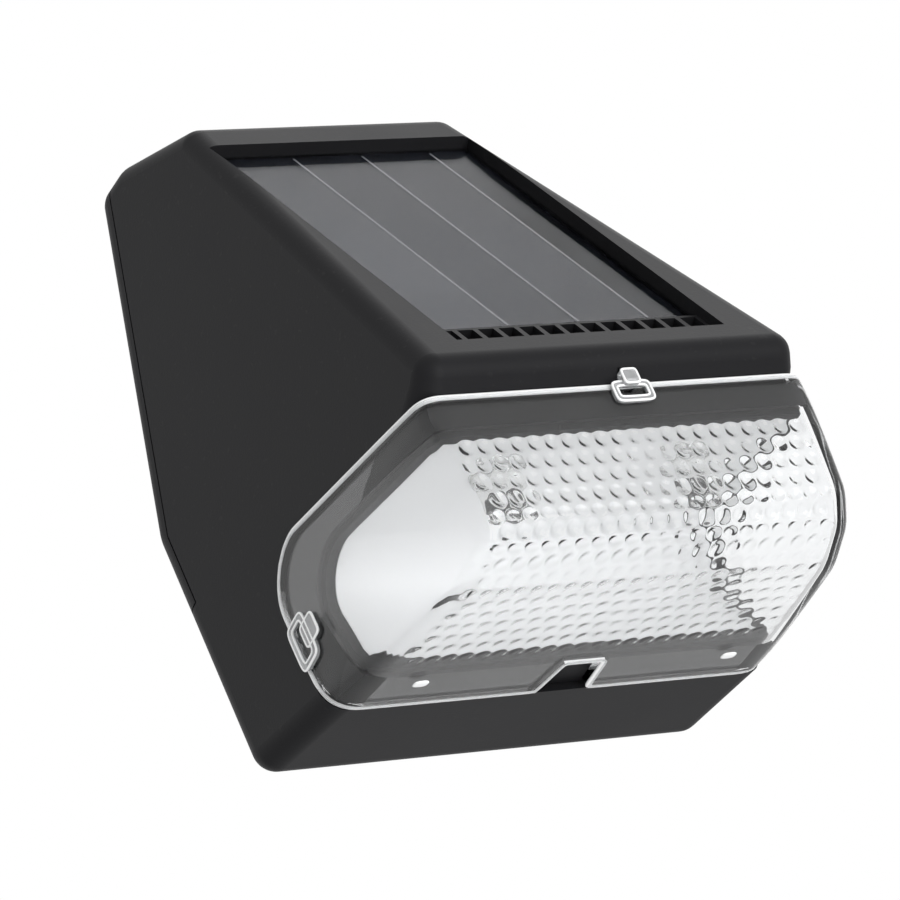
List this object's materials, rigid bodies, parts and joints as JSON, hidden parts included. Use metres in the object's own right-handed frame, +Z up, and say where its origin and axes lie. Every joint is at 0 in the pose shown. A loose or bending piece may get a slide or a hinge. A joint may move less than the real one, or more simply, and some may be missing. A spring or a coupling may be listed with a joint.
{
  "type": "fence_light",
  "caption": "Wedge-shaped black solar fence light with a sloping solar panel on top and a wrap-round clear textured lens over a white reflector",
  "frame": {"origin": "Centre of the flat wall face of the back plate: on the wall, midway between the sides, level with the middle of the housing's upper part", "axes": "+X to the right as seen from the front, +Y into the wall, +Z up; the lens and solar panel face -Y"},
  "size_m": [0.0791, 0.0808, 0.1077],
  "materials": {
    "black_plastic": "fine moulded texture",
    "clear_plastic": "clear moulded plastic with bumps inside",
    "white_plastic": "smooth white",
    "gasket_rubber": "smooth dark rubber",
    "seal_rubber": "soft grey-black rubber",
    "screw_steel": "zinc plated",
    "contact_steel": "nickel plated strip",
    "white_board": "white coated board",
    "green_board": "green coated board",
    "black_board": "black coated board",
    "led_epoxy": "clear epoxy",
    "panel_resin": "clear glossy resin",
    "solar_silicon": "dark blue-grey cell with thin bright lines",
    "adhesive_sheet": "foam sheet",
    "button_plastic": "satin",
    "switch_plastic": "moulded",
    "chip_plastic": "moulded",
    "coil_ferrite": "ferrite",
    "battery_sleeve": "shrink sleeve",
    "cradle_plastic": "moulded",
    "lead_red": "insulated wire",
    "lead_black": "insulated wire"
  },
  "bodies": {
    "body": {"housing": "black_plastic", "back_plate": "black_plastic", "plate_seal": "seal_rubber", "plate_screws": "screw_steel", "lens": "clear_plastic", "lens_gasket": "gasket_rubber", "reflector": "white_plastic", "led_board": "white_board", "leds": "led_epoxy", "led_board_screws": "screw_steel", "panel_resin": "panel_resin", "solar_cells": "solar_silicon", "panel_board": "black_board", "panel_adhesive": "adhesive_sheet", "button_seal": "seal_rubber", "switch_body": "switch_plastic", "control_board": "green_board", "control_board_screws": "screw_steel", "controller_chip": "chip_plastic", "boost_coil": "coil_ferrite", "battery": "battery_sleeve", "battery_cradle": "cradle_plastic", "battery_plate_contact": "contact_steel", "battery_spring_contact": "contact_steel", "panel_leads": "lead_red", "led_leads": "lead_black"},
    "button": {"power_button": "button_plastic", "switch_plunger": "switch_plastic"}
  },
  "joints": [
    {"name": "button_press", "type": "slide", "parent": "body", "child": "button", "axis": [0, -0.9432, 0.3322], "range_m": [0, 0.0012], "stiffness_N_per_m": 400}
  ]
}
